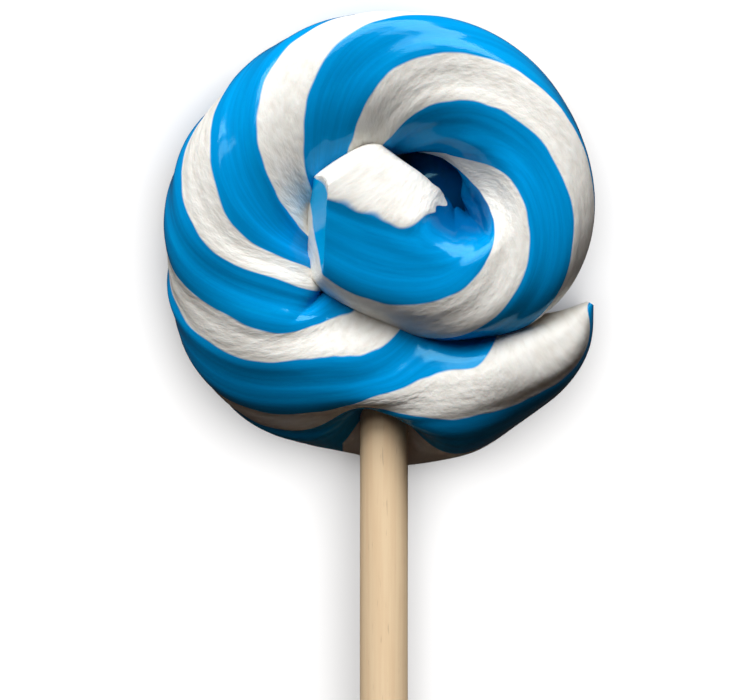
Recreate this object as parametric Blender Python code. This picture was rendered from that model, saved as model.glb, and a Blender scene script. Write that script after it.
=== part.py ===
"""A hand-made lollipop, lying on its flat back.

One thick rope of blue and white pulled sugar is wound about one and a half turns round its own
heart and pressed flat at the back. Its inner end is cut blunt and nipped flat on its left side,
its tail is pinched to a wedge, and a plain round wooden stick is pushed into it from below.

Metres, +Z up out of the coil's face, +Y from the stick towards the top of the coil, +X to the
right. The origin is on the flat back, on the line of the stick.
"""
import math

import bmesh
import bpy
import numpy as np
from mathutils import Matrix, Vector

MM = 0.001

# Driving dimensions, in millimetres and degrees
HEART = (3.9, 2.5)            # the point that the rope winds round, seen from above
TOP_HALF = 8.2                # the rope's half thickness above its middle line
PRESS = 1.5                   # how far the soft rope was pressed through the plane of the back
INNER_CAP = 2.5               # length over which the blunt inner end rounds off
CAP_SLOPE = 0.25              # share of the section lost in that length before it rounds over
CAP_POWER = 4                 # how late it rounds over
LEAST_SECTION = 0.05          # share of the section left at the pole, which one point closes
NIP_X = -7.5                  # the nipped face of the inner end: where it crosses NIP_HEIGHT
NIP_HEIGHT = 17.5
NIP_LEAN = 0.35               # how far it leans out for each millimetre down
NIP_LENGTH = 12.0             # length of rope that it cuts
TAIL_LENGTH = 14.0            # length over which the tail thins to its wedge
TAIL_THINNING = 3.6           # half thickness that the tail loses at its tip
BEND_LIMIT = 0.86             # the rope's inner side reaches this share of the bend's radius
BEND_SHARPNESS = 6            # how suddenly it stops there
LEAST_BEND = 0.001            # keeps that radius finite where the rope runs straight
TUCK = 1.6                    # how far the outer turn spreads under the inner one
TUCK_START = 46.0             # the stretch of rope that does so
TUCK_END = 130.0
TUCK_BLEND = 12.0
SHOULDER_INNER = 3.3          # how square the rope's outer shoulder is: 2 is round
SHOULDER_TAIL = 3.0
INNER_START = 55.0            # the inner turn's square shoulder fades over this stretch
INNER_END = 75.0
TAIL_START = 132.0            # and the tail's comes in over this one
TAIL_FULL = 142.0
SLUMP = 0.25                  # how far the outer turn's crown leans inward, beside the stick
SLUMP_START = 86.0            # the stretch of rope that leans
SLUMP_FULL = 97.0
SLUMP_FADING = 112.0
SLUMP_END = 124.0
HOLLOW = 0.7                  # how much the inner turn falls away towards the pit
HOLLOW_START = 11.0           # the stretch of rope that does so
HOLLOW_FULL = 18.0
HOLLOW_FADING = 32.0
HOLLOW_END = 44.0
PAIRS = 4                     # pairs of strands round the rope, one blue and one white in each
FACET_DEPTH = 0.018           # how much flatter than round each strand lies, as a share
FACET_FADING = 118.0          # the faces are worn round over this stretch, towards the tail
FACET_END = 130.0
SEAM_STEP = 0.07              # how far each pair stands out over the next at the coil's rim
SEAM_NICK = 0.05              # the nick between them there, as shares of the half width
NICK_WIDTH = 10.0             # half width of the nick, in degrees round the rope
SEAM_SOFTNESS = 10.0          # the step is spread over about this many degrees
SEAM_START = 40.0             # the seams deepen over this stretch of rope
SEAM_FULL = 70.0

STICK_RADIUS = 3.0
STICK_LENGTH = 150.0
STICK_TOP = -2.0              # where the hidden end of the stick lies, along Y
STICK_HEIGHT = 10.0           # height of the stick's middle line above the back
STICK_CHAMFER = 0.35
STICK_GAP = 0.3               # clear space round the stick in its hole

DENT_DEPTH = 6.0              # how far the stick pushed the sugar in as it went into the rope
DENT_HEIGHT = 11.5            # height at which the dent is deepest
DENT_HALF_WIDTH = 6.0
DENT_ABOVE = 3.1              # how quickly it fades above and below that height
DENT_BELOW = 4.0
FOOT_PUSH = 1.5               # sugar squeezed out again under the stick
FOOT_HEIGHT = 4.0
FOOT_SPREAD = 3.0
FOOT_HALF_WIDTH = 6.0
DENT_START = 95.0             # the dent is in the outer turn alone, past this length of rope
DENT_BLEND = 10.0

FILL_CENTRE = (7.5, 6.0, 0.5)   # sugar that closes the bottom of the pit in the coil's middle
FILL_HALF = (8.0, 7.0, 7.5)
FILL_SEGMENTS = 24
FILL_BANDS = 12
SLAB_HALF = 60.0              # the slab whose top is the plane of the back
SLAB_THICKNESS = 20.0
HOLE_END = -60.0              # the stick's hole is cut from here, clear of the candy, to its top
SHARP_EDGE = 35.0             # faces that meet at more than this many degrees keep a crisp edge

RINGS = 104                   # sections along the rope
CAP_RINGS = 6
SIDES = 44                    # sides of a section
STICK_SIDES = 32

# The rope's middle line, from the inner end to the tail. Each row gives the angle round the heart,
# the distance from it, the height above the back, the rope's half width, the strands' turn, and
# how much further they have turned on the coil's outer side than on top.
STATIONS = [
    (163, 11.3, 10.4, 8.3, 84, -26),
    (203, 6.1, 10.4, 9.4, 98, -18),
    (268, 5.7, 10.3, 9.0, 107, -16),
    (308, 8.6, 10.2, 9.1, 121, -4),
    (335, 11.5, 10.0, 9.5, 151, 8),
    (357, 13.3, 9.8, 8.8, 176, 8),
    (397, 15.3, 9.2, 8.0, 212, 2),
    (434, 16.4, 8.8, 8.2, 241, -2),
    (472, 18.1, 8.5, 8.4, 285, -12),
    (512, 20.4, 8.3, 8.6, 348, -6),
    (530, 21.8, 8.2, 8.8, 386, -4),
    (547, 22.8, 8.1, 8.8, 423, 0),
    (564, 23.7, 8.0, 9.0, 476, -4),
    (581, 24.6, 8.0, 9.1, 521, 0),
    (598, 24.0, 8.0, 8.4, 557, 4),
    (616, 22.9, 8.0, 8.0, 573, 8),
    (635, 23.0, 8.0, 8.3, 604, -4),
    (652, 22.6, 8.0, 7.1, 602, -10),
    (664, 22.9, 8.0, 6.0, 603, -24),
    (674, 23.5, 8.0, 5.0, 602, -34),
    (683, 24.1, 8.0, 3.3, 601, -38),
    (693, 24.5, 8.0, 0.5, 640, -40),
]


def smooth_line(knots, values, where):
    """Read a natural cubic spline through (knots, values) at each place in where."""
    knots = np.asarray(knots, float)
    values = np.asarray(values, float)
    gap = np.diff(knots)
    slope = np.diff(values) / gap
    count = len(knots)
    system = np.eye(count)
    right = np.zeros(count)
    for i in range(1, count - 1):
        system[i, i - 1:i + 2] = (gap[i - 1], 2 * (gap[i - 1] + gap[i]), gap[i])
        right[i] = 6 * (slope[i] - slope[i - 1])
    bend = np.linalg.solve(system, right)
    k = np.clip(np.searchsorted(knots, where, side="right") - 1, 0, count - 2)
    done = where - knots[k]
    left = knots[k + 1] - where
    cubic = (bend[k] * left**3 + bend[k + 1] * done**3) / (6 * gap[k])
    start = (values[k] / gap[k] - bend[k] * gap[k] / 6) * left
    end = (values[k + 1] / gap[k] - bend[k + 1] * gap[k] / 6) * done
    return cubic + start + end


def fade(low, high, value):
    """Rise smoothly from 0 at low to 1 at high."""
    share = np.clip((value - low) / (high - low), 0, 1)
    return share * share * (3 - 2 * share)


def rope_course(rings, cap_rings):
    """Give each section's place, middle, heading, bend, height, half width, turn and lean."""
    angle, distance, *columns = np.array(STATIONS, float).T
    knot_x = HEART[0] + distance * np.cos(np.radians(angle))
    knot_y = HEART[1] + distance * np.sin(np.radians(angle))
    knots = np.concatenate([[0], np.cumsum(np.hypot(np.diff(knot_x), np.diff(knot_y)))])
    along = np.linspace(0, knots[-1], rings)
    x = smooth_line(knots, knot_x, along)
    y = smooth_line(knots, knot_y, along)
    heading = np.unwrap(np.arctan2(np.gradient(y, along), np.gradient(x, along)))
    bend = np.maximum(np.gradient(heading, along), LEAST_BEND)
    rows = [along, x, y, heading, bend]
    for values in columns:
        rows.append(smooth_line(knots, values, along))
    rows = np.array(rows)
    back = INNER_CAP * np.cos(np.linspace(0, math.pi / 2, cap_rings, endpoint=False))
    cap = np.repeat(rows[:, :1], cap_rings, axis=1)
    cap[0] = -back
    cap[1] -= back * math.cos(rows[3, 0])
    cap[2] -= back * math.sin(rows[3, 0])
    return np.concatenate([cap, rows], axis=1)


def press_in_stick(x, y, z, along):
    """Push the outer turn in round the stick, and out a little under it."""
    outer = np.clip((along - DENT_START) / DENT_BLEND, 0, 1)
    reach = np.where(z > DENT_HEIGHT, DENT_ABOVE, DENT_BELOW)
    dent = np.exp(-(x / DENT_HALF_WIDTH)**2 - ((z - DENT_HEIGHT) / reach)**2)
    foot = np.exp(-(x / FOOT_HALF_WIDTH)**2 - ((z - FOOT_HEIGHT) / FOOT_SPREAD)**2)
    return y + outer * (DENT_DEPTH * dent - FOOT_PUSH * foot)


def nip_end(x, z, along):
    """Flatten the left side of the inner end against a steep plane."""
    plane = NIP_X - (NIP_HEIGHT - z) * NIP_LEAN
    return np.where(along < NIP_LENGTH, np.maximum(x, plane), x)


def strand_relief(strand, outward, along):
    """Give the relief of the strands: flattened faces, stepped and nicked at the coil's rim."""
    facet = np.cos(2 * PAIRS * strand) * (1 - fade(FACET_FADING, FACET_END, along))
    pair = 360 / PAIRS
    past_seam = (np.degrees(strand) + pair / 2) % pair - pair / 2
    step = SEAM_STEP * (past_seam / pair - 0.5 * np.tanh(past_seam / SEAM_SOFTNESS))
    nick = SEAM_NICK * np.exp(-(past_seam / NICK_WIDTH)**2)
    rim = np.clip(outward, 0, 1)**2 * fade(SEAM_START, SEAM_FULL, along)
    return 1 + FACET_DEPTH * facet + rim * (step - nick)


def shoulder_power(along):
    """Give the superellipse power of the section's outer shoulder."""
    inner = (SHOULDER_INNER - 2) * (1 - fade(INNER_START, INNER_END, along))
    return 2 + inner + (SHOULDER_TAIL - 2) * fade(TAIL_START, TAIL_FULL, along)


def rope_surface(rings, cap_rings, sides):
    """Give the rope's skin as a grid of points in millimetres, one row for each section."""
    course = rope_course(rings, cap_rings)[:, :, None]
    along, x, y, heading, bend, height, half, turn, lean = course
    around = np.linspace(0, 2 * math.pi, sides, endpoint=False)[None, :]
    power = shoulder_power(along)
    shouldered = (np.cos(around) > 0) & (np.sin(around) > 0)
    rounder = (np.abs(np.cos(around))**power + np.abs(np.sin(around))**power)**(-1 / power)
    fuller = np.where(shouldered, rounder, 1)
    outward = fuller * np.cos(around)
    upward = fuller * np.sin(around)
    seen = np.where(upward > 0, np.arccos(outward), around)
    cap_share = np.clip(-along / INNER_CAP, 0, 1)
    closing = 1 - CAP_SLOPE * cap_share - (1 - CAP_SLOPE) * cap_share**CAP_POWER
    closing = np.maximum(closing, LEAST_SECTION)
    tucked = np.clip(np.minimum(along - TUCK_START, TUCK_END - along) / TUCK_BLEND, 0, 1)
    roomy = half + TUCK * tucked
    room = BEND_LIMIT / bend
    inner_half = (roomy**-BEND_SHARPNESS + room**-BEND_SHARPNESS)**(-1 / BEND_SHARPNESS)
    thinning = TAIL_THINNING * np.clip((along - along.max()) / TAIL_LENGTH + 1, 0, 1)**2
    slump = SLUMP * fade(SLUMP_START, SLUMP_FULL, along) * (1 - fade(SLUMP_FADING, SLUMP_END, along))
    wide = np.where(outward > 0, half, inner_half) * closing
    hollow = HOLLOW * fade(HOLLOW_START, HOLLOW_FULL, along)
    hollow = hollow * (1 - fade(HOLLOW_FADING, HOLLOW_END, along))
    crown = TOP_HALF * (1 - slump * outward) * (1 - hollow * np.minimum(outward, 0)**2)
    tall = np.where(upward > 0, crown, height + PRESS) * closing - thinning
    strand = seen - np.radians(turn + lean * outward)
    relief = strand_relief(strand, outward, along)
    reach = wide * outward * relief
    grid_x = x + reach * np.sin(heading)
    grid_y = y - reach * np.cos(heading)
    grid_z = height + tall * upward * relief
    grid_x = nip_end(grid_x, grid_z, along)
    grid_y = press_in_stick(grid_x, grid_y, grid_z, along)
    return np.stack([grid_x, grid_y, grid_z], axis=-1)


def new_material(name, colour, roughness, metallic=0.0):
    material = bpy.data.materials.new(name)
    material.use_nodes = True
    shader = material.node_tree.nodes["Principled BSDF"]
    shader.inputs["Base Color"].default_value = (*colour, 1)
    shader.inputs["Roughness"].default_value = roughness
    shader.inputs["Metallic"].default_value = metallic
    return material


def new_object(name, mesh, material=None):
    """Link an object for the mesh, with its faces shaded smooth but for sharp edges."""
    mesh.shade_smooth()
    mesh.set_sharp_from_angle(angle=math.radians(SHARP_EDGE))
    obj = bpy.data.objects.new(name, mesh)
    bpy.context.scene.collection.objects.link(obj)
    if material:
        mesh.materials.append(material)
    return obj


def finish_mesh(bm, name):
    """Turn the faces outward and hand the mesh over, from millimetres to metres."""
    bmesh.ops.recalc_face_normals(bm, faces=bm.faces)
    bmesh.ops.scale(bm, vec=(MM, MM, MM), verts=bm.verts)
    mesh = bpy.data.meshes.new(name)
    bm.to_mesh(mesh)
    bm.free()
    return mesh


def rope_mesh():
    """Close the rope's skin with one point at each end."""
    grid = rope_surface(RINGS, CAP_RINGS, SIDES)
    bm = bmesh.new()
    rings = []
    for row in grid:
        rings.append([bm.verts.new(point) for point in row])
    for ring, following in zip(rings, rings[1:]):
        for i in range(SIDES):
            j = (i + 1) % SIDES
            bm.faces.new((ring[i], ring[j], following[j], following[i]))
    for ring, row in ((rings[0], grid[0]), (rings[-1], grid[-1])):
        tip = bm.verts.new(row.mean(axis=0))
        for i in range(SIDES):
            bm.faces.new((ring[i], ring[(i + 1) % SIDES], tip))
    return finish_mesh(bm, "candy")


def ball_mesh(name, centre, half):
    bm = bmesh.new()
    bmesh.ops.create_uvsphere(bm, u_segments=FILL_SEGMENTS, v_segments=FILL_BANDS, radius=1)
    bmesh.ops.transform(bm, matrix=Matrix.Translation(centre) @ Matrix.Diagonal((*half, 1)),
                        verts=bm.verts)
    return finish_mesh(bm, name)


def rod_mesh(name, radius, top, bottom, chamfer=0.0):
    """Make a round rod along Y at the stick's height, with its rims bevelled."""
    bm = bmesh.new()
    bmesh.ops.create_cone(bm, cap_ends=True, segments=STICK_SIDES, radius1=radius, radius2=radius,
                          depth=top - bottom)
    if chamfer:
        rims = [edge for edge in bm.edges if abs(edge.verts[0].co.z - edge.verts[1].co.z) < chamfer]
        bmesh.ops.bevel(bm, geom=rims, offset=chamfer, segments=2, profile=0.5, affect="EDGES")
    bmesh.ops.rotate(bm, matrix=Matrix.Rotation(math.pi / 2, 3, "X"), verts=bm.verts)
    middle = Vector((0, (top + bottom) / 2, STICK_HEIGHT))
    bmesh.ops.translate(bm, vec=middle, verts=bm.verts)
    return finish_mesh(bm, name)


def slab_mesh(name, half_side, thickness):
    """Make a slab whose upper face is the plane of the flat back."""
    bm = bmesh.new()
    bmesh.ops.create_cube(bm, size=1)
    bmesh.ops.scale(bm, vec=(2 * half_side, 2 * half_side, thickness), verts=bm.verts)
    bmesh.ops.translate(bm, vec=(0, 0, -thickness / 2), verts=bm.verts)
    return finish_mesh(bm, name)


def combine(obj, other, operation, own_overlap=False):
    """Join or cut with another body, which itself stays out of the finished object."""
    other.hide_render = True
    other.display_type = "WIRE"
    modifier = obj.modifiers.new(other.name, "BOOLEAN")
    modifier.object = other
    modifier.operation = operation
    modifier.solver = "EXACT"
    modifier.use_self = own_overlap


def build_candy():
    """Fuse the coil's turns and the sugar in its heart, press the back flat, bore the hole."""
    sugar = new_material("pulled_sugar", (0.0, 0.24, 0.72), 0.18)
    candy = new_object("candy", rope_mesh(), sugar)
    fill = new_object("heart_fill", ball_mesh("heart_fill", FILL_CENTRE, FILL_HALF))
    slab = new_object("back_plane", slab_mesh("back_plane", SLAB_HALF, SLAB_THICKNESS))
    bore = rod_mesh("stick_hole", STICK_RADIUS + STICK_GAP, STICK_TOP + STICK_GAP, HOLE_END)
    hole = new_object("stick_hole", bore)
    combine(candy, fill, "UNION", own_overlap=True)
    combine(candy, slab, "DIFFERENCE")
    combine(candy, hole, "DIFFERENCE")


def build_stick():
    wood = new_material("birch_dowel", (0.76, 0.55, 0.32), 0.6)
    bottom = STICK_TOP - STICK_LENGTH
    new_object("stick", rod_mesh("stick", STICK_RADIUS, STICK_TOP, bottom, STICK_CHAMFER), wood)


def main():
    for obj in list(bpy.data.objects):
        bpy.data.objects.remove(obj)
    build_candy()
    build_stick()


main()
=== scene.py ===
# %% [markdown]
# # A hand-made lollipop
# The real thing is one thick rope of pulled sugar, twisted from blue and white strands, wound
# about one and a half turns round itself while it was soft, with a wooden stick pushed in.
# This lesson loads the measured model as a fixed frame, then makes the fine sugar and the wood
# that stand for its two solids. Everything is in millimetres until a mesh is made. Only the
# floor and the lamps are given in metres.

# %% Load the frame
import math

import bmesh
import bpy
import numpy as np
from mathutils import Matrix, Vector


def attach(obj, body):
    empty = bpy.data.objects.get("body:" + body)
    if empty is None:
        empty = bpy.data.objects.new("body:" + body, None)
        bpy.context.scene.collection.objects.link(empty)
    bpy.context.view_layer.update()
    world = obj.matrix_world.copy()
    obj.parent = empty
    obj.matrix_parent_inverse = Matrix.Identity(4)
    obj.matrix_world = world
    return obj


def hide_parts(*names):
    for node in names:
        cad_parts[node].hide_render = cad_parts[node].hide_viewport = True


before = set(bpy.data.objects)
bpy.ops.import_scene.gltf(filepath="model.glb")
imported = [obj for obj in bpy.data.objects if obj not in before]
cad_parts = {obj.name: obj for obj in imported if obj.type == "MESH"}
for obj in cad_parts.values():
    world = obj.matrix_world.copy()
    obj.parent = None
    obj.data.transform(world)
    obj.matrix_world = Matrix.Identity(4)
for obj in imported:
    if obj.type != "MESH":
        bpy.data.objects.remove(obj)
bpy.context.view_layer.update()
MM = 0.001
print("pieces to dress:", sorted(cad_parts))

# %% [markdown]
# ## The rope's course
# On the real sweet the rope starts at the left of the middle, dips under, climbs the right side
# and runs over the top and down the left to a pinched tail. It could be drawn as a Bezier curve
# with a bevel, but a coil is easier to read as angle and distance round its heart, and we need
# to know the strands' turn at every place. So each row below is one place where the rope was
# measured, and a smooth spline runs through them.

# %% Stations along the rope
HEART = (3.9, 2.5)           # the middle of the coil
# angle round the heart, distance, height, half width, strands' turn, lean of the stripes
STATIONS = [
    (163, 11.3, 10.4, 8.3, 84, -26),
    (203, 6.1, 10.4, 9.4, 98, -18),
    (268, 5.7, 10.3, 9.0, 107, -16),
    (308, 8.6, 10.2, 9.1, 121, -4),
    (335, 11.5, 10.0, 9.5, 151, 8),
    (357, 13.3, 9.8, 8.8, 176, 8),
    (397, 15.3, 9.2, 8.0, 212, 2),
    (434, 16.4, 8.8, 8.2, 241, -2),
    (472, 18.1, 8.5, 8.4, 285, -12),
    (512, 20.4, 8.3, 8.6, 348, -6),
    (530, 21.8, 8.2, 8.8, 386, -4),
    (547, 22.8, 8.1, 8.8, 423, 0),
    (564, 23.7, 8.0, 9.0, 476, -4),
    (581, 24.6, 8.0, 9.1, 521, 0),
    (598, 24.0, 8.0, 8.4, 557, 4),
    (616, 22.9, 8.0, 8.0, 573, 8),
    (635, 23.0, 8.0, 8.3, 604, -4),
    (652, 22.6, 8.0, 7.1, 602, -10),
    (664, 22.9, 8.0, 6.0, 603, -24),
    (674, 23.5, 8.0, 5.0, 602, -34),
    (683, 24.1, 8.0, 3.3, 601, -38),
    (693, 24.5, 8.0, 0.5, 640, -40),
]
print(len(STATIONS), "stations over", STATIONS[-1][0] - STATIONS[0][0], "degrees of coil")


# %% Smooth lines and smooth changes
def smooth_line(knots, values, where):
    """Read a natural cubic spline through (knots, values) at each place in where."""
    knots = np.asarray(knots, float)
    values = np.asarray(values, float)
    gap = np.diff(knots)
    slope = np.diff(values) / gap
    count = len(knots)
    system = np.eye(count)
    right = np.zeros(count)
    for i in range(1, count - 1):
        system[i, i - 1:i + 2] = (gap[i - 1], 2 * (gap[i - 1] + gap[i]), gap[i])
        right[i] = 6 * (slope[i] - slope[i - 1])
    bend = np.linalg.solve(system, right)
    k = np.clip(np.searchsorted(knots, where, side="right") - 1, 0, count - 2)
    done = where - knots[k]
    left = knots[k + 1] - where
    cubic = (bend[k] * left**3 + bend[k + 1] * done**3) / (6 * gap[k])
    start = (values[k] / gap[k] - bend[k] * gap[k] / 6) * left
    end = (values[k + 1] / gap[k] - bend[k + 1] * gap[k] / 6) * done
    return cubic + start + end


def fade(low, high, value):
    """Rise smoothly from 0 at low to 1 at high."""
    share = np.clip((value - low) / (high - low), 0, 1)
    return share * share * (3 - 2 * share)


def rise_and_fall(amount, rise, fall, value):
    """Rise to amount between the two values in rise, and back to 0 between those in fall."""
    return amount * fade(*rise, value) * (1 - fade(*fall, value))


def bump_at(place, reach, value):
    """Give 1 at a place, and less and less away from it: about a third at reach."""
    return np.exp(-((value - place) / reach)**2)


# %% Follow the rope
INNER_CAP = 2.5              # how far the rounded inner end reaches past the first station
STRAIGHTEST = 0.001          # least bend that is used, as one over a radius


def rope_course(rings, cap_rings):
    """Give each section's place, middle, heading, bend, height, half width, turn and lean."""
    angle, distance, *columns = np.array(STATIONS, float).T
    knot_x = HEART[0] + distance * np.cos(np.radians(angle))
    knot_y = HEART[1] + distance * np.sin(np.radians(angle))
    knots = np.concatenate([[0], np.cumsum(np.hypot(np.diff(knot_x), np.diff(knot_y)))])
    along = np.linspace(0, knots[-1], rings)
    x = smooth_line(knots, knot_x, along)
    y = smooth_line(knots, knot_y, along)
    heading = np.unwrap(np.arctan2(np.gradient(y, along), np.gradient(x, along)))
    bend = np.maximum(np.gradient(heading, along), STRAIGHTEST)
    rows = np.array([along, x, y, heading, bend, *(smooth_line(knots, c, along) for c in columns)])
    back = INNER_CAP * np.cos(np.linspace(0, math.pi / 2, cap_rings, endpoint=False))
    cap = np.repeat(rows[:, :1], cap_rings, axis=1)
    cap[0] = -back
    cap[1] -= back * math.cos(rows[3, 0])
    cap[2] -= back * math.sin(rows[3, 0])
    return np.concatenate([cap, rows], axis=1)


print("length of rope:", round(rope_course(len(STATIONS), 1)[0, -1], 1), "mm")

# %% [markdown]
# ## How the strands lie
# Four white and four blue strands run side by side and turn round the rope. A point's *strand
# angle* is its angle round the section less the turn so far, so a strand keeps the same strand
# angle from end to end. Painting the stripes by hand would lose that order at every bend. Where
# the maker's hands disturbed it, we bend the angles and leave the rest alone: the stick bowed
# the strands beside it and crowded others, and a white one thins out towards the pit.

# %% Crowded and bowed strands
PAIRS = 4                    # white strands, each with a blue one beside it
PAIR = 360.0 / PAIRS         # degrees from one white strand to the next
HIDDEN_SIDE = 205.0          # angle round the section where the underside starts
# Two values in brackets are where a change starts and where it is complete.
STICK_PLACE = 117.8          # length of rope at which the stick went in
STICK_BOW = 6.0              # degrees by which it bowed the strands beside it upwards
STICK_BOW_REACH = 2.8
STICK_BOW_END = (85.0, 105.0)
STICK_WHITE = -503.0         # upper edge of the white strand that the stick gathered
STICK_CROWDING = 34.0        # degrees of strand that crowd under that edge
STICK_CROWD_PLACE = 118.0
STICK_CROWD_REACH = 6.5
STICK_SOFTNESS = 25.0
STICK_LET_GO = (15.0, 160.0)
PIT_WHITE = -48.0            # upper edge of the white strand that thins out into the pit
PIT_CROWDING = 34.0
PIT_CROWD_RISE = (34.0, 45.0)
PIT_CROWD_FALL = (52.0, 62.0)
PIT_SOFTNESS = 12.0
PIT_LET_GO = (15.0, 85.0)


def gather(angles, edge, amount, softness, let_go):
    """Crowd the strands below an edge: amount degrees of them within softness of it."""
    below = np.maximum(edge - angles, 0)
    return angles - amount * (1 - np.exp(-below / softness)) * (1 - fade(*let_go, below))


def crowded_angles(along, around, turn, lean):
    """Give strand angles in degrees, with the strands crowded at the stick and at the pit."""
    degrees = np.degrees(around)
    bow = STICK_BOW * bump_at(STICK_PLACE, STICK_BOW_REACH, along)
    bow = bow * (1 - fade(*STICK_BOW_END, degrees))
    angles = degrees - turn - lean * np.cos(around) - bow
    at_stick = STICK_CROWDING * bump_at(STICK_CROWD_PLACE, STICK_CROWD_REACH, along)
    at_pit = rise_and_fall(PIT_CROWDING, PIT_CROWD_RISE, PIT_CROWD_FALL, along)
    angles = gather(angles, STICK_WHITE, at_stick, STICK_SOFTNESS, STICK_LET_GO)
    return gather(angles, PIT_WHITE, at_pit, PIT_SOFTNESS, PIT_LET_GO)


print("strands:", 2 * PAIRS, "of about", PAIR / 2, "degrees each")

# %% [markdown]
# ## Smeared ends
# Where the rope was cut and pinched, one white strand was smeared over most of what shows. At
# the tail it runs on to the tip. At the inner end it turns up and tears off, with a ragged edge,
# before the rope goes down into the pit. Narrowing and widening strand angles makes both.

# %% Strand angles
INNER_WHITE = 0.0            # strand angle where the smeared white starts at the inner end
TAIL_WHITE = -540.0          # and at the tail
SMEAR = 0.6                  # how much of its narrowness the smeared strand loses
INNER_SMEAR_END = (4.0, 15.0)
TAIL_SMEAR_START = (130.5, 140.5)
TURN_UP = 20.0               # degrees by which the smeared strand turns up before it tears
TURN_UP_RISE = (10.5, 15.5)
TURN_UP_FALL = (15.5, 20.0)
TURN_UP_FROM = (98.0, 130.0)
TURN_UP_UNTIL = (200.0, 250.0)
INNER_TEAR = 15.0            # length of rope at which it tears off
TEAR_SOFTNESS = 1.0
TEAR_BACK = 5.0              # degrees by which the tear reaches past the strand's edge
TEAR_KEPT = 0.02             # share of the strand's width that is left after it
TEAR_WAVES = [(0.9, 0.21, 0.0), (0.25, 0.33, 1.0)]     # height, pace and start of each wave
PIT_END = 44.0               # length of rope at which it comes out of the pit again


def squeeze(angles, start, turned_under, kept):
    """Narrow the strands from start to the underside by kept, and widen those under it."""
    low = angles[:, :1]
    under = np.maximum(turned_under, start + 1.0)
    squeezed = start + (angles - start) * kept
    share = np.clip((angles - under) / (low + 360.0 - under), 0, 1)
    reached = start + (under - start) * kept
    spread = reached + share * (low + 360.0 - reached)
    return np.where(angles < start, angles, np.where(angles < under, squeezed, spread))


def strand_angles(along, around, turn, lean):
    """Give the strand angle in degrees at each point of the skin."""
    degrees = np.degrees(around)
    angles = crowded_angles(along, around, turn, lean)
    under = HIDDEN_SIDE - turn - lean * math.cos(math.radians(HIDDEN_SIDE))
    inner_kept = 1 - SMEAR * (1 - fade(*INNER_SMEAR_END, along))
    smeared = squeeze(angles, INNER_WHITE, under, inner_kept)
    turned_up = rise_and_fall(1, TURN_UP_RISE, TURN_UP_FALL, along) * fade(*TURN_UP_FROM, degrees)
    smeared = smeared - TURN_UP * turned_up * (1 - fade(*TURN_UP_UNTIL, degrees))
    torn = squeeze(angles, INNER_WHITE - TEAR_BACK, under, TEAR_KEPT)
    ragged = INNER_TEAR
    for height, pace, start in TEAR_WAVES:
        ragged = ragged + height * np.sin(degrees * pace + start)
    past_tear = fade(-TEAR_SOFTNESS, TEAR_SOFTNESS, along - ragged) * (along < PIT_END)
    angles = smeared + (torn - smeared) * past_tear
    return squeeze(angles, TAIL_WHITE, under, 1 - SMEAR * fade(*TAIL_SMEAR_START, along))


print("the inner white tears off", INNER_TEAR, "mm along")

# %% [markdown]
# ## The section
# Cut across, the rope is an ellipse, flat where it lay on a slab. Its outer shoulder is squarer
# on the inner turn and at the tail, so there we use a superellipse. Bends squeezed its inner
# side, the turn beside the pit falls away into it, and the outer turn slumps outwards before
# the stick. A Screw modifier can't change its section as it goes, so we place the rings
# ourselves.

# %% Shoulders and width
SHOULDER_INNER = 3.3         # power of the superellipse on the inner turn: 2 is an ellipse
SHOULDER_INNER_END = (55.0, 75.0)
SHOULDER_TAIL = 3.0
SHOULDER_TAIL_START = (132.0, 142.0)
BEND_LIMIT = 0.86            # most that the inner side reaches, as a share of the bend's radius
BEND_SHARPNESS = 6           # how suddenly that limit sets in
TUCK = 1.6                   # how much further the outer turn reaches into the inner one
TUCK_START = 46.0
TUCK_END = 130.0
TUCK_BLEND = 12.0


def outward_and_upward(around, along):
    """Give how far out and up each point of a section of half width 1 and half height 1 is."""
    inner = (SHOULDER_INNER - 2) * (1 - fade(*SHOULDER_INNER_END, along))
    power = 2 + inner + (SHOULDER_TAIL - 2) * fade(*SHOULDER_TAIL_START, along)
    rounder = (np.abs(np.cos(around))**power + np.abs(np.sin(around))**power)**(-1 / power)
    fuller = np.where((np.cos(around) > 0) & (np.sin(around) > 0), rounder, 1)
    return fuller * np.cos(around), fuller * np.sin(around)


def half_width(outward, half, bend, along):
    """Give the half width: as measured outwards, and limited by the bend inwards."""
    tucked = np.clip(np.minimum(along - TUCK_START, TUCK_END - along) / TUCK_BLEND, 0, 1)
    roomy = half + TUCK * tucked
    limit = BEND_LIMIT / bend
    inner_half = (roomy**-BEND_SHARPNESS + limit**-BEND_SHARPNESS)**(-1 / BEND_SHARPNESS)
    return np.where(outward > 0, half, inner_half)


# %% Height and ends
TOP_HALF = 8.2               # from the rope's middle up to its top
PRESS = 1.5                  # how far its underside would reach below the slab
SLUMP = 0.25                 # share by which the outer turn is lower outwards and higher inwards
SLUMP_RISE = (86.0, 97.0)
SLUMP_FALL = (112.0, 124.0)
HOLLOW = 0.7                 # share that is lost on the side of the pit
HOLLOW_RISE = (11.0, 18.0)
HOLLOW_FALL = (32.0, 44.0)
CAP_SLOPE = 0.25             # share of the inner end's rounding that is a cone
CAP_POWER = 4
LEAST_SECTION = 0.02         # share of its size that the last ring keeps
TAIL_LENGTH = 14.0           # length of rope that the fingers pinched thinner
TAIL_THINNING = 3.6


def half_height(outward, upward, height, along):
    """Give the half height: to the crown above the rope's middle, and past the slab below."""
    slump = rise_and_fall(SLUMP, SLUMP_RISE, SLUMP_FALL, along)
    hollow = rise_and_fall(HOLLOW, HOLLOW_RISE, HOLLOW_FALL, along)
    crown = TOP_HALF * (1 - slump * outward) * (1 - hollow * np.minimum(outward, 0)**2)
    return np.where(upward > 0, crown, height + PRESS)


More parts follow.
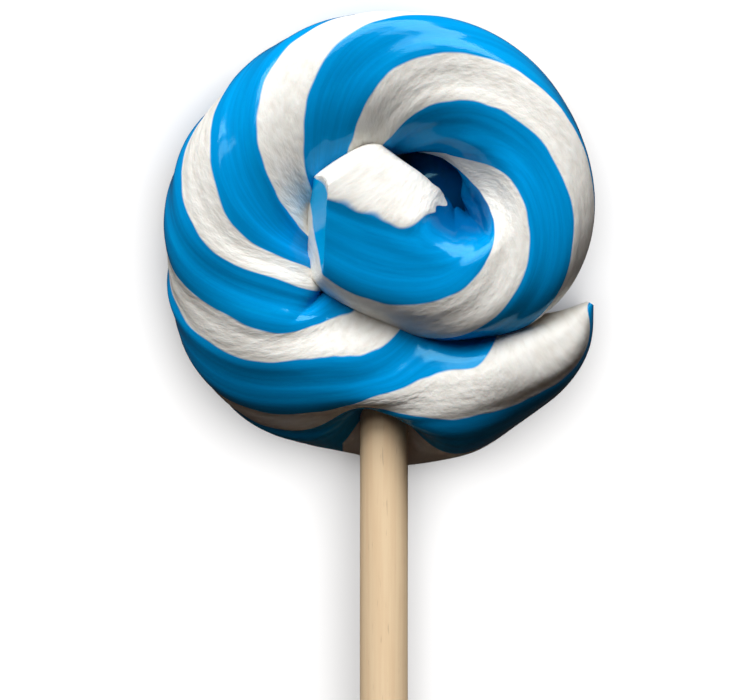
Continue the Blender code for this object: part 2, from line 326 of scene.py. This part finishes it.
def rounded_end(along):
    """Give the share of its size that a section keeps at the inner end."""
    share = np.clip(-along / INNER_CAP, 0, 1)
    return np.maximum(1 - CAP_SLOPE * share - (1 - CAP_SLOPE) * share**CAP_POWER, LEAST_SECTION)


def tail_thinning(along):
    """Give what the pinched tail loses of its half height."""
    return TAIL_THINNING * np.clip((along - along.max()) / TAIL_LENGTH + 1, 0, 1)**2


print("the rope stands", round(TOP_HALF + STATIONS[0][2], 1), "mm high at its inner end")

# %% [markdown]
# ## What the tools left
# A blade nipped the inner end and left a steep flat face. The stick, pushed in from below, took
# the sugar round it along and pushed some out under it. A sculpted dent would do, but smooth
# functions of the place give the same form in the measured model and here.

# %% Nip and dent
NIP_X = -7.5                 # where the flat face is, at the height of the next line
NIP_HEIGHT = 17.5
NIP_LEAN = 0.35              # how far it goes out for each millimetre down
NIP_LENGTH = 12.0            # length of rope that the blade could reach
NIP_EDGE = 0.1               # softness of its rim
DENT_DEPTH = 6.0
DENT_HEIGHT = 11.5
DENT_HALF_WIDTH = 6.0
DENT_ABOVE = 3.1
DENT_BELOW = 4.0
FOOT_PUSH = 1.5              # how far sugar was pushed out under the stick
FOOT_HEIGHT = 4.0
FOOT_SPREAD = 3.0
FOOT_HALF_WIDTH = 6.0
DENT_START = 95.0            # only the rope past this length was touched
DENT_BLEND = 10.0


def nip_end(x, z, along):
    """Flatten the left side of the inner end against a steep plane."""
    plane = NIP_X - (NIP_HEIGHT - z) * NIP_LEAN
    rounded = plane + NIP_EDGE * np.logaddexp(0, (x - plane) / NIP_EDGE)
    return np.where(along < NIP_LENGTH, rounded, x)


def press_in_stick(x, y, z, along):
    """Push the outer turn in round the stick, and out a little under it."""
    outer = np.clip((along - DENT_START) / DENT_BLEND, 0, 1)
    reach = np.where(z > DENT_HEIGHT, DENT_ABOVE, DENT_BELOW)
    dent = np.exp(-(x / DENT_HALF_WIDTH)**2 - ((z - DENT_HEIGHT) / reach)**2)
    foot = np.exp(-(x / FOOT_HALF_WIDTH)**2 - ((z - FOOT_HEIGHT) / FOOT_SPREAD)**2)
    return y + outer * (DENT_DEPTH * dent - FOOT_PUSH * foot)


print("the stick dents the sugar by", DENT_DEPTH, "mm")

# %% [markdown]
# ## Strands in relief
# Each strand has a slightly flattened face, and at the coil's rim each pair steps out past the
# next one with a nick between them. The white layer over the inner end has a thickness of its
# own, and pulling left small swells and lines. A bump map could fake all this inside the
# outline, but not at it, so it is in the mesh.

# %% Relief
FACET_DEPTH = 0.018          # share by which a strand is lower in its middle, higher at its edges
FACET_END = (118.0, 130.0)
SEAM_STEP = 0.07             # how far a pair steps out, as a share of the half width
SEAM_SOFTNESS = 5.0
SEAM_NICK = 0.05
NICK_WIDTH = 8.0
SEAM_RISE = (40.0, 70.0)
TONGUE_THICKNESS = 0.45      # the white layer over the inner end
TONGUE_NEAR = (-6.0, 4.0)
TONGUE_FAR = (38.0, 50.0)
TONGUE_END = (13.0, 15.5)
# height, pace along the rope, waves round it, start
SWELLS = [(0.05, 0.23, 2, 0.0), (0.04, 0.41, -3, 1.3)]
# height, lines round the rope, then how far they drift, how fast along it, start
PULL_LINES = [(0.018, 17, 0.9, 0.11, 0.0), (0.012, 29, 1.0, 0.07, 2.0)]


def strand_relief(strand, outward, along):
    """Give the relief of the strands: flattened faces, stepped and nicked at the coil's rim."""
    facet = np.cos(2 * PAIRS * strand) * (1 - fade(*FACET_END, along))
    past_seam = (np.degrees(strand) + PAIR / 2) % PAIR - PAIR / 2
    step = SEAM_STEP * (past_seam / PAIR - 0.5 * np.tanh(past_seam / SEAM_SOFTNESS))
    nick = SEAM_NICK * np.exp(-(past_seam / NICK_WIDTH)**2)
    rim = np.clip(outward, 0, 1)**2 * fade(*SEAM_RISE, along)
    return 1 + FACET_DEPTH * facet + rim * (step - nick)


def hand_pulled(strand, along):
    """Give the small swells and pull lines of the strands, in millimetres."""
    lift = 0.0
    for height, pace, count, start in SWELLS:
        lift = lift + height * np.sin(along * pace + count * strand + start)
    for height, count, drift, pace, start in PULL_LINES:
        lift = lift + height * np.sin(count * strand + drift * np.sin(along * pace + start))
    return lift


def tongue_lift(strand, along):
    """Give the thickness of the white layer that was smeared over the inner end."""
    past_edge = np.degrees(strand) - INNER_WHITE
    layer = rise_and_fall(1, TONGUE_NEAR, TONGUE_FAR, past_edge)
    return TONGUE_THICKNESS * layer * (1 - fade(*TONGUE_END, along))


print("relief:", TONGUE_THICKNESS, "mm for the white layer,", SWELLS[0][0], "mm for the swells")

# %% [markdown]
# ## The skin and its marks
# Now every ring gets its points. Each point also gets a mark that tells the material where it
# is: the strand angle as an arrow, and the place along. An angle jumps from 360 degrees to 0 and
# would tear the stripes there, but an arrow turns smoothly. Its length was still free, so it
# carries painted light and shade: 1 on plain sugar, 2 on the nipped face, which is painted
# lighter, and shorter towards the pit, which is painted dark as shade.

# %% Lay out the skin
RINGS = 490
CAP_RINGS = 14
SIDES = 176
NIP_PAINTED_LIGHT = (0.1, 0.8)        # depth of the nip over which painted light makes the sugar paler
IN_SHADE = 0.25              # length of the arrow where deep shade is painted on the sugar
SHADE_SIDE = (0.1, 0.8)      # share of the width, on the pit's side, over which the painted shade comes
SHADE_RISE = (10.0, 16.0)
SHADE_FALL = (28.0, 42.0)


def strand_marks(strand, length, along):
    """Keep the strand angle as an arrow of some length, with the place along beside it."""
    place = np.broadcast_to(along, strand.shape)
    return np.stack([length * np.cos(strand), length * np.sin(strand), place], axis=-1)


def rope_skin():
    """Give the points of each ring, their marks, and each ring's place along."""
    course = rope_course(RINGS, CAP_RINGS)[:, :, None]
    along, x, y, heading, bend, height, half, turn, lean = course
    around = np.linspace(0, 2 * math.pi, SIDES, endpoint=False)[None, :]
    outward, upward = outward_and_upward(around, along)
    seen = np.where(upward > 0, np.arccos(outward), around)
    closing = rounded_end(along)
    wide = half_width(outward, half, bend, along) * closing
    tall = half_height(outward, upward, height, along) * closing - tail_thinning(along)
    plain = seen - np.radians(turn + lean * outward)
    strand = np.radians(strand_angles(along, seen, turn, lean))
    fine = hand_pulled(plain, along) + tongue_lift(strand, along)
    relief = strand_relief(plain, outward, along) + fine / TOP_HALF
    reach = wide * outward * relief
    skin_x = x + reach * np.sin(heading)
    skin_y = y - reach * np.cos(heading)
    skin_z = height + tall * upward * relief
    nipped_x = nip_end(skin_x, skin_z, along)
    skin_y = press_in_stick(nipped_x, skin_y, skin_z, along)
    # painted light: the nipped face gets a longer arrow, which the material turns paler
    painted_nip_light = fade(*NIP_PAINTED_LIGHT, nipped_x - skin_x)
    # painted shade: the arrow gets shorter towards the pit, and the material darkens the blue there
    painted_pit_shade = rise_and_fall(fade(*SHADE_SIDE, -outward), SHADE_RISE, SHADE_FALL, along)
    length = 1 + painted_nip_light - (1 - IN_SHADE) * painted_pit_shade
    skin = np.stack([nipped_x, skin_y, skin_z], axis=-1)
    return skin, strand_marks(strand, length, along), along[:, 0]


skin, marks, along = rope_skin()
print("skin:", skin.shape[0], "rings of", skin.shape[1], "points, up to",
      round(skin[:, :, 2].max(), 1), "mm high")

# %% [markdown]
# ## Meshes that carry marks
# A Boolean makes an edge where two surfaces meet. A point on that edge can keep only one mark,
# but each face's own corner there can keep its own. So a mesh gets its marks on its corners, and
# the Manifold solver, which is quick on a fine mesh, joins and cuts.

# %% Mesh helpers
ATTRIBUTE = "strand"
BLUE_ANGLE = math.radians(-22)
BLUE_PLACE = 30.0            # a place and a strand angle where the sugar is blue


def add_object(name, mesh):
    """Put a mesh in the scene under a name."""
    obj = bpy.data.objects.new(name, mesh)
    bpy.context.scene.collection.objects.link(obj)
    return obj


def keep_marks(mesh, marks):
    """Store a vector for each vertex on the corners that use it."""
    corner_vertex = np.zeros(len(mesh.loops), int)
    mesh.loops.foreach_get("vertex_index", corner_vertex)
    stored = mesh.attributes.new(ATTRIBUTE, "FLOAT_VECTOR", "CORNER")
    stored.data.foreach_set("vector", marks[corner_vertex].astype(np.float32).ravel())


def tube(name, skin):
    """Close a stretch of skin with a flat face at each end."""
    rings, sides = skin.shape[:2]
    index = np.arange(rings * sides).reshape(rings, sides)
    beside = np.roll(index, -1, axis=1)
    quads = np.stack([index[:-1], index[1:], beside[1:], beside[:-1]], axis=-1).reshape(-1, 4)
    ends = [index[0].tolist(), index[-1][::-1].tolist()]
    mesh = bpy.data.meshes.new(name)
    mesh.from_pydata((skin.reshape(-1, 3) * MM).tolist(), [], quads.tolist() + ends)
    return add_object(name, mesh)


def plain_body(name, bm):
    """Make an object of a bmesh in millimetres, marked as blue sugar with painted shade above the back.
    """
    bmesh.ops.scale(bm, vec=(MM, MM, MM), verts=bm.verts)
    mesh = bpy.data.meshes.new(name)
    bm.to_mesh(mesh)
    bm.free()
    # points above the slab get the short arrow, which paints shade on them
    lengths = np.array([IN_SHADE if vert.co.z > 0 else 1.0 for vert in mesh.vertices])
    keep_marks(mesh, strand_marks(np.full(len(lengths), BLUE_ANGLE), lengths, BLUE_PLACE))
    return add_object(name, mesh)


def fuse(obj, other, operation):
    """Join or cut obj with other, apply the result and remove other."""
    modifier = obj.modifiers.new(other.name, "BOOLEAN")
    modifier.object = other
    modifier.operation = operation
    modifier.solver = "MANIFOLD"
    graph = bpy.context.evaluated_depsgraph_get()
    result = bpy.data.meshes.new_from_object(obj.evaluated_get(graph), depsgraph=graph)
    obj.modifiers.clear()
    obj.data = result
    bpy.data.objects.remove(other)


# %% [markdown]
# ## Two lengths of rope
# The coil's turns run into each other, as they do on the real sweet where soft sugar met soft
# sugar. One mesh can't pass through itself, so we cut the rope into an inner and an outer
# length and join them. They run on inside each other by a few rings, drawn in a little, so that
# no two faces lie in one place.

# %% Inner and outer length
PARTING = 62.0               # length of rope at which the inner length meets the outer one
OVERLAP = 3                  # rings by which each runs on inside the other
NESTING = 0.003              # share by which it is narrower there


def narrowed(rings):
    """Draw some of the skin's rings in a little, so that they lie inside the other length."""
    drawn_in = skin.copy()
    middle = skin[rings].mean(axis=1, keepdims=True)
    drawn_in[rings] = middle + (skin[rings] - middle) * (1 - NESTING)
    return drawn_in


def rope_length(name, shape, kept):
    """Make one length of rope from the rings that are kept of a shape."""
    length = tube(name, shape[kept])
    keep_marks(length.data, marks[kept].reshape(-1, 3))
    return length


part_at = int(np.searchsorted(along, PARTING))
candy = rope_length("sugar_coil", narrowed(slice(part_at, None)), slice(None, part_at + OVERLAP))
outer = rope_length("outer_length", narrowed(slice(None, part_at)), slice(part_at - OVERLAP, None))
fuse(candy, outer, "UNION")
print("coil joined at ring", part_at, "into", len(candy.data.polygons), "faces")

# %% [markdown]
# ## Heart and hole
# In the middle of the coil the rope leaves a small pit, whose bottom is sugar too, in shade. We
# close it with a squashed ball, painted dark as shade, as are the walls of the hole. The sugar grips
# the stick, so we cut a hole for it that is barely wider: as wide as the model's own, it would show
# as a dark line beside the wood.

# %% Fill the heart and cut the hole
FILL_CENTRE = (7.5, 6.0, 0.5)
FILL_HALF = (8.0, 7.0, 7.5)
FILL_SIDES = 64
STICK_RADIUS = 3.0
STICK_LENGTH = 150.0
STICK_TOP = -2.0             # where its inner end is
STICK_HEIGHT = 10.0          # how high its axis lies above the slab
STICK_SIDES = 96
STICK_GAP = 0.03             # clear space round the stick
HOLE_END = -60.0             # anywhere below the candy


def heart_fill():
    """Make the squashed ball that closes the pit."""
    bm = bmesh.new()
    squash = Matrix.Translation(FILL_CENTRE) @ Matrix.Diagonal((*FILL_HALF, 1))
    bmesh.ops.create_uvsphere(bm, u_segments=FILL_SIDES, v_segments=FILL_SIDES // 2, radius=1)
    bmesh.ops.transform(bm, matrix=squash, verts=bm.verts)
    return plain_body("heart_fill", bm)


def stick_hole():
    """Make the cylinder that is cut out of the coil for the stick."""
    radius = STICK_RADIUS + STICK_GAP
    top, bottom = STICK_TOP + STICK_GAP, HOLE_END
    bm = bmesh.new()
    bmesh.ops.create_cone(bm, cap_ends=True, segments=STICK_SIDES, radius1=radius,
                          radius2=radius, depth=top - bottom)
    bmesh.ops.rotate(bm, matrix=Matrix.Rotation(math.pi / 2, 3, "X"), verts=bm.verts)
    bmesh.ops.translate(bm, vec=(0, (top + bottom) / 2, STICK_HEIGHT), verts=bm.verts)
    return plain_body("stick_hole", bm)


fuse(candy, heart_fill(), "UNION")
fuse(candy, stick_hole(), "DIFFERENCE")
print("with heart and hole:", len(candy.data.polygons), "faces")

# %% [markdown]
# ## The flat back
# Soft sugar on a slab gets a flat back with its strands still on it. A cutting box would put
# plain faces there. We cut an edge where the skin meets the slab, and raise every point below
# the slab to it, so the back keeps the strands' marks. Raising makes a few points and faces
# fall together, and those come out.

# %% Press the back flat
SLIVER = 0.003 * MM          # points nearer than this are one
SUGAR_CREASE = math.radians(38)


def drop_folds(bm):
    """Delete the pairs of faces that lie back to back on the same points."""
    by_points = {}
    for face in bm.faces:
        by_points.setdefault(frozenset(face.verts), []).append(face)
    folded = [face for faces in by_points.values() if len(faces) > 1 for face in faces]
    bmesh.ops.delete(bm, geom=folded, context="FACES")


def press_flat(mesh):
    """Cut an edge where the mesh meets the slab, and level all below that."""
    bm = bmesh.new()
    bm.from_mesh(mesh)
    everything = [*bm.verts, *bm.edges, *bm.faces]
    bmesh.ops.bisect_plane(bm, geom=everything, plane_co=(0, 0, 0), plane_no=(0, 0, 1))
    for vert in bm.verts:
        vert.co.z = max(vert.co.z, 0.0)
    bmesh.ops.remove_doubles(bm, verts=bm.verts, dist=SLIVER)
    drop_folds(bm)
    bm.to_mesh(mesh)
    bm.free()


press_flat(candy.data)
candy.data.shade_smooth()
candy.data.set_sharp_from_angle(angle=SUGAR_CREASE)
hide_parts("candy")
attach(candy, "root")
print("sugar coil:", len(candy.data.polygons), "faces,", [round(v / MM, 1) for v in candy.dimensions])

# %% [markdown]
# ## The wooden stick
# A turned birch dowel: straight, round, with its rims barely broken and a surface that is a
# little uneven where the cutter left it. A cylinder with a Bevel modifier would be perfectly
# even, so we turn a profile round the axis in rings and let the radius waver.

# %% Build the stick
STICK_RINGS = 300
RIM = 0.35                   # radius of the broken rims
RIM_RINGS = 5
UNEVEN = 0.012               # half of the depth of its low places, which wind round it
UNEVEN_SIDES = 3
UNEVEN_PACE = 0.13
RIM_CREASE = math.radians(40)


def make_stick():
    """Turn the stick: rims barely broken, and a radius that wavers inwards only."""
    steps = np.linspace(0, STICK_LENGTH, STICK_RINGS)
    rim_steps = RIM * (1 - np.cos(np.linspace(0, math.pi / 2, RIM_RINGS)))
    steps = np.concatenate([rim_steps[:-1], steps[1:-1], STICK_LENGTH - rim_steps[::-1][1:]])
    from_end = np.minimum(steps, STICK_LENGTH - steps)
    corner = np.clip(1 - from_end / RIM, 0, 1)
    radius = STICK_RADIUS - RIM * (1 - np.sqrt(1 - corner**2))
    around = np.linspace(0, 2 * math.pi, STICK_SIDES, endpoint=False)
    waver = np.sin(UNEVEN_SIDES * around[None, :] + steps[:, None] * UNEVEN_PACE)
    uneven = UNEVEN * waver - UNEVEN
    reach = radius[:, None] + uneven
    x = reach * np.sin(around)
    z = STICK_HEIGHT + reach * np.cos(around)
    y = np.repeat((STICK_TOP - steps)[:, None], STICK_SIDES, axis=1)
    stick = tube("wooden_stick", np.stack([x, y, z], axis=-1))
    stick.data.shade_smooth()
    stick.data.set_sharp_from_angle(angle=RIM_CREASE)
    return stick


stick = make_stick()
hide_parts("stick")
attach(stick, "root")
print("stick:", [round(v / MM, 1) for v in stick.dimensions], "mm")

# %% [markdown]
# ## A small kit for materials
# Node trees are easier to read when a line adds one node and says what feeds it. `Nodes` wraps
# that: each call makes a node and gives back its output socket.


# %% Node helper
class Nodes:
    """Adds shader nodes to a material, one call for each."""

    def __init__(self, name):
        self.material = bpy.data.materials.new(name)
        self.material.use_nodes = True
        self.tree = self.material.node_tree
        self.shader = self.tree.nodes["Principled BSDF"]

    def feed(self, socket, value):
        if isinstance(value, bpy.types.NodeSocket):
            self.tree.links.new(value, socket)
        else:
            socket.default_value = value

    def add(self, kind, inputs, output=0, **settings):
        node = self.tree.nodes.new(kind)
        for key, value in settings.items():
            setattr(node, key, value)
        for key, value in inputs.items():
            self.feed(node.inputs[key], value)
        return node.outputs[output]

    def math(self, operation, *values):
        return self.add("ShaderNodeMath", dict(enumerate(values)), operation=operation)

    def ramp(self, value, low, high, to_low=0.0, to_high=1.0):
        inputs = {"Value": value, "From Min": low, "From Max": high, "To Min": to_low, "To Max": to_high}
        return self.add("ShaderNodeMapRange", inputs, interpolation_type="SMOOTHSTEP")

    def mix(self, share, first, second):
        return self.add("ShaderNodeMix", {0: share, 6: first, 7: second}, 2, data_type="RGBA")

    def noise(self, vector, scale, detail=2.0, roughness=0.5):
        inputs = {"Vector": vector, "Scale": scale, "Detail": detail, "Roughness": roughness}
        return self.add("ShaderNodeTexNoise", inputs)

    def stretched(self, vector, scale):
        return self.add("ShaderNodeVectorMath", {0: vector, 1: scale}, operation="MULTIPLY")

    def set(self, **values):
        for key, value in values.items():
            self.feed(self.shader.inputs[key.replace("_", " ")], value)


# %% [markdown]
# ## White and blue
# On the real rope the stripes follow every bend with a crisp edge that wanders a little. They
# could be painted on an unwrapped picture, but the marks on the mesh already say which strand
# a point is on. The whites get thinner on the left of the coil, and get their full width back
# beside the stick.

# %% White mask
WHITE_SHARE = 0.47           # white part of one pair of strands
EDGE = 0.012                 # softness of a stripe's edge, as a share of a pair
WANDER = 0.08                # how far the edges wander, as a share of a pair
WANDER_GRAIN = (4.0, 4.0, 1.0)
THINNER = 0.10               # share of a pair that the whites lose
THINNER_START = (79.0, 91.0)
FULLER = 0.10                # gives that width back
FULLER_START = (112.0, 121.0)


def white_mask(n, strand, parts):
    """1 on white strands, 0 on blue ones, with the edge wandering a little."""
    angle = n.math("ARCTAN2", parts.outputs["Y"], parts.outputs["X"])
    pairs = n.math("MULTIPLY", angle, PAIRS / (2 * math.pi))
    wander = n.noise(n.stretched(strand, WANDER_GRAIN), 0.25, detail=1.0)
    centred = n.math("SUBTRACT", pairs, WANDER / 2)
    place = n.math("FRACT", n.math("MULTIPLY_ADD", wander, WANDER, centred))
    thinner = n.math("MULTIPLY", n.ramp(parts.outputs["Z"], *THINNER_START), THINNER)
    fuller = n.math("MULTIPLY", n.ramp(parts.outputs["Z"], *FULLER_START), FULLER)
    share = n.math("ADD", n.math("SUBTRACT", WHITE_SHARE, thinner), fuller)
    half = n.math("DIVIDE", share, 2.0)
    past_middle = n.math("WRAP", n.math("SUBTRACT", place, half), 0.5, -0.5)
    past_edge = n.math("SUBTRACT", n.math("ABSOLUTE", past_middle), half)
    return n.ramp(past_edge, -EDGE, EDGE, 1.0, 0.0)


print("white part of a pair:", WHITE_SHARE, "and on the left", round(WHITE_SHARE - THINNER, 2))

# %% [markdown]
# ## Pulled sugar
# Blue strands are clear, boiled sugar: glossy and deep, with fine pull lines. White strands were
# pulled until they filled with air: satin, with short fibres along them. Two materials would
# need a cut in the mesh at each stripe, so one material makes both and the mask chooses. Its
# reflections are tinted, because light that comes back from clear blue sugar looks blue too.

# %% Sugar material
ROPE_RADIUS = 8.4            # makes millimetres of an arrow's length of 1
PULL_GRAIN = (ROPE_RADIUS, ROPE_RADIUS, 0.06)          # long lines: slow changes along the rope
CLOUD_GRAIN = (ROPE_RADIUS, ROPE_RADIUS, 0.25)
FIBRE_GRAIN = (ROPE_RADIUS, ROPE_RADIUS, 0.85)         # short fibres
BLUE_DEEP = (0.0, 0.27, 0.64, 1)
BLUE_CLEAR = (0.0, 0.32, 0.75, 1)
BLUE_LINE = (0.0, 0.40, 0.86, 1)
# painted light: paler blue for the nipped face
BLUE_PAINTED_LIGHT = (0.0, 0.48, 0.95, 1)
# painted shade for the pit's bottom, its side and the walls of the hole
BLUE_PAINTED_SHADE = (0.0, 0.10, 0.30, 1)
WHITE_BRIGHT = (0.90, 0.88, 0.83, 1)
WHITE_DULL = (0.82, 0.79, 0.73, 1)
BLUE_ROUGHNESS = (0.08, 0.15)
WHITE_ROUGHNESS = (0.85, 0.75)
FIBRE_HEIGHT = 0.15
LINE_HEIGHT = 0.012
BLUE_REFLECTION = (0.35, 0.85, 1.0, 1)


def blue_sugar(n, strand, pull):
    """Mix the blues: pull lines and clouds, painted light on the nipped face and painted shade in the
    pit.
    """
    cloud = n.noise(n.stretched(strand, CLOUD_GRAIN), 0.35, detail=2.0)
    blue = n.mix(n.ramp(pull, 0.34, 0.66), BLUE_DEEP, BLUE_CLEAR)
    blue = n.mix(n.ramp(cloud, 0.55, 0.8, 0.0, 0.6), blue, BLUE_LINE)
    flat = n.stretched(strand, (1.0, 1.0, 0.0))
    arrow = n.add("ShaderNodeVectorMath", {0: flat}, 1, operation="LENGTH")
    # painted light: long arrows on the nipped face turn the blue paler
    blue = n.mix(n.ramp(arrow, 1.1, 1.6), blue, BLUE_PAINTED_LIGHT)
    # painted shade: short arrows turn the blue dark
    return n.mix(n.ramp(arrow, 0.3, 0.9), BLUE_PAINTED_SHADE, blue)


def sugar_material():
    """Make blue and white sugar: their colour, gloss, pull lines and fibres."""
    n = Nodes("pulled_sugar")
    strand = n.add("ShaderNodeAttribute", {}, 1, attribute_name=ATTRIBUTE)
    parts = n.tree.nodes.new("ShaderNodeSeparateXYZ")
    n.feed(parts.inputs[0], strand)
    white = white_mask(n, strand, parts)
    pull = n.noise(n.stretched(strand, PULL_GRAIN), 1.6, detail=4.0, roughness=0.6)
    fibre = n.noise(n.stretched(strand, FIBRE_GRAIN), 1.0, detail=3.0, roughness=0.5)
    blue = blue_sugar(n, strand, pull)
    pale = n.mix(n.ramp(fibre, 0.3, 0.62), WHITE_DULL, WHITE_BRIGHT)
    gloss = n.ramp(pull, 0.3, 0.7, *BLUE_ROUGHNESS)
    satin = n.ramp(fibre, 0.3, 0.7, *WHITE_ROUGHNESS)
    rough = n.add("ShaderNodeMix", {0: white, 2: gloss, 3: satin}, 0, data_type="FLOAT")
    ridges = n.math("MULTIPLY", n.math("SUBTRACT", fibre, 0.5), white)
    lines = n.math("MULTIPLY", n.math("SUBTRACT", pull, 0.5), n.math("SUBTRACT", 1.0, white))
    ridges = n.math("MULTIPLY", ridges, FIBRE_HEIGHT)
    lines = n.math("MULTIPLY", lines, LINE_HEIGHT)
    height = n.math("ADD", ridges, lines)
    bump = n.add("ShaderNodeBump", {"Height": height, "Strength": 1.0, "Distance": MM})
    n.set(Base_Color=n.mix(white, blue, pale), Roughness=rough, Normal=bump)
    n.set(Subsurface_Weight=0.12, Subsurface_Radius=(0.5, 0.8, 1.0), Subsurface_Scale=1.2 * MM)
    n.set(Specular_IOR_Level=0.35, Specular_Tint=BLUE_REFLECTION, IOR=1.5)
    return n.material


candy.data.materials.clear()
candy.data.materials.append(sugar_material())
print("sugar material on", candy.name)

# %% [markdown]
# ## Birch
# Pale wood with straight, fine grain along the stick, small dark pores as short dashes, and a
# matt surface. Stretching a noise along the stick makes the grain from object coordinates, so
# it needs no picture either.

# %% Wood material
WOOD_LIGHT = (0.95, 0.73, 0.47, 1)
WOOD_DARK = (0.89, 0.65, 0.40, 1)
WOOD_PORE = (0.55, 0.37, 0.21, 1)
GRAIN_STRETCH = (1.0, 0.03, 1.0)
BAND_STRETCH = (1.0, 0.015, 1.0)
PORE_STRETCH = (1.0, 0.10, 1.0)
WOOD_ROUGHNESS = (0.62, 0.5)
GRAIN_HEIGHT = 0.02 * MM


def wood_material():
    """Make bare birch: grain, broad bands and pores."""
    n = Nodes("birch_wood")
    place = n.add("ShaderNodeTexCoord", {}, "Object")
    grain = n.noise(n.stretched(place, GRAIN_STRETCH), 1500.0, detail=5.0, roughness=0.6)
    bands = n.noise(n.stretched(place, BAND_STRETCH), 420.0, detail=2.0)
    pores = n.noise(n.stretched(place, PORE_STRETCH), 3800.0, detail=1.0)
    wood = n.mix(n.ramp(grain, 0.35, 0.65), WOOD_DARK, WOOD_LIGHT)
    wood = n.mix(n.ramp(bands, 0.35, 0.7, 0.0, 0.35), wood, WOOD_LIGHT)
    wood = n.mix(n.ramp(pores, 0.68, 0.78, 0.0, 0.4), wood, WOOD_PORE)
    height = n.math("SUBTRACT", grain, n.ramp(pores, 0.64, 0.74, 0.0, 0.8))
    bump = n.add("ShaderNodeBump", {"Height": height, "Strength": 1.0, "Distance": GRAIN_HEIGHT})
    n.set(Base_Color=wood, Roughness=n.ramp(grain, 0.3, 0.7, *WOOD_ROUGHNESS), Normal=bump)
    return n.material


stick.data.materials.clear()
stick.data.materials.append(wood_material())
print("wood material on", stick.name)

# %% [markdown]
# ## Floor
# The photograph is a studio picture on white. A pale sheet stands for that floor. It throws no
# light and no reflection onto the sweet, whose shaded side is dark in the picture.

# %% Floor
FLOOR_HALF = 1.5             # metres
FLOOR_PALE = (0.9, 0.9, 0.9, 1)


def make_floor():
    """Lay the pale sheet, unseen by light that bounces and by reflections."""
    mesh = bpy.data.meshes.new("floor")
    corners = [(-1, -1), (1, -1), (1, 1), (-1, 1)]
    mesh.from_pydata([(x * FLOOR_HALF, y * FLOOR_HALF, 0) for x, y in corners], [], [(0, 1, 2, 3)])
    floor = add_object("floor", mesh)
    n = Nodes("pale_floor")
    n.set(Base_Color=FLOOR_PALE, Roughness=0.9, Specular_IOR_Level=0.1)
    mesh.materials.append(n.material)
    floor.visible_diffuse = False
    floor.visible_glossy = False
    return floor


floor = make_floor()
print("floor:", 2 * FLOOR_HALF, "m wide")

# %% [markdown]
# ## Light
# A big soft window beyond the top of the coil lights the picture, and little comes from below.
# A smaller lamp higher up gives the sheen on the upper faces. Light linking lets one lamp light
# the stick alone, which is bright in the picture, and another wash the floor white without
# filling the coil's shaded side. The world adds a faint warm light all round.

# %% Lights
# places and sizes in metres, power in watts
SWEET_MIDDLE = (0, 0, 0.01)
WORLD_COLOUR = (1.0, 0.73, 0.62, 1)
WORLD_STRENGTH = 0.033


def group_of(name, *objects):
    """Gather the objects that a lamp is to light."""
    group = bpy.data.collections.new(name)
    for obj in objects:
        group.objects.link(obj)
    return group


def soft_lamp(name, lit, place, target, size, power):
    """Add a rectangular lamp at a place, facing a target, that lights only one group."""
    lamp = bpy.data.lights.new(name, "AREA")
    lamp.shape = "RECTANGLE"
    lamp.size, lamp.size_y = size
    lamp.energy = power
    obj = bpy.data.objects.new(name, lamp)
    obj.location = place
    obj.rotation_euler = (Vector(target) - Vector(place)).to_track_quat("-Z", "Y").to_euler()
    bpy.context.scene.collection.objects.link(obj)
    obj.light_linking.receiver_collection = lit


sweet = group_of("sweet", candy, stick)
wood_only = group_of("wood_only", stick)
ground = group_of("ground", floor)
soft_lamp("window", sweet, (-0.13, 1.38, 0.76), SWEET_MIDDLE, size=(2.2, 0.9), power=46.5)
soft_lamp("skylight", sweet, (-0.42, 0.9, 1.25), SWEET_MIDDLE, size=(1.0, 0.35), power=5.0)
soft_lamp("stick_glow", wood_only, (0.65, 1.3, 0.45), (0, -0.08, 0.01), size=(1.2, 0.4), power=10.0)
soft_lamp("floor_wash", ground, (0.1, 0.15, 1.0), (0, 0, 0), size=(1.6, 1.6), power=25.0)

world = bpy.data.worlds.new("studio")
bpy.context.scene.world = world
world.use_nodes = True
world.node_tree.nodes["Background"].inputs["Color"].default_value = WORLD_COLOUR
world.node_tree.nodes["Background"].inputs["Strength"].default_value = WORLD_STRENGTH
bpy.context.scene.view_settings.view_transform = "Standard"

# %% [markdown]
# ## Camera
# The photograph looks straight at the coil's face with the stick pointing down, from far enough
# away that nothing looks bent. The lollipop lies down, so the camera hangs above it, with a long
# lens at the distance where the picture just fits.

# %% Camera
LENS = 200.0
SENSOR = 36.0
PHOTO_WIDTH = 747            # pixels
PIXEL = 0.125                # millimetres to a pixel
PIXEL_HEIGHT = 9.0           # height above the slab at which it is that
FRAME_CENTRE = (-1.3, -14.4)

camera_data = bpy.data.cameras.new("camera")
camera_data.lens = LENS
camera_data.sensor_width = SENSOR
camera = bpy.data.objects.new("camera", camera_data)
distance = LENS / SENSOR * PHOTO_WIDTH * PIXEL
camera.location = (FRAME_CENTRE[0] * MM, FRAME_CENTRE[1] * MM, (PIXEL_HEIGHT + distance) * MM)
bpy.context.scene.collection.objects.link(camera)
bpy.context.scene.camera = camera
print("camera", round(distance), "mm above the coil")

# %% [markdown]
# ## Finish
# The dressed lollipop must stay the size of the measured one. Here the scene is brought up to date.

# %% Finish
bpy.context.view_layer.update()
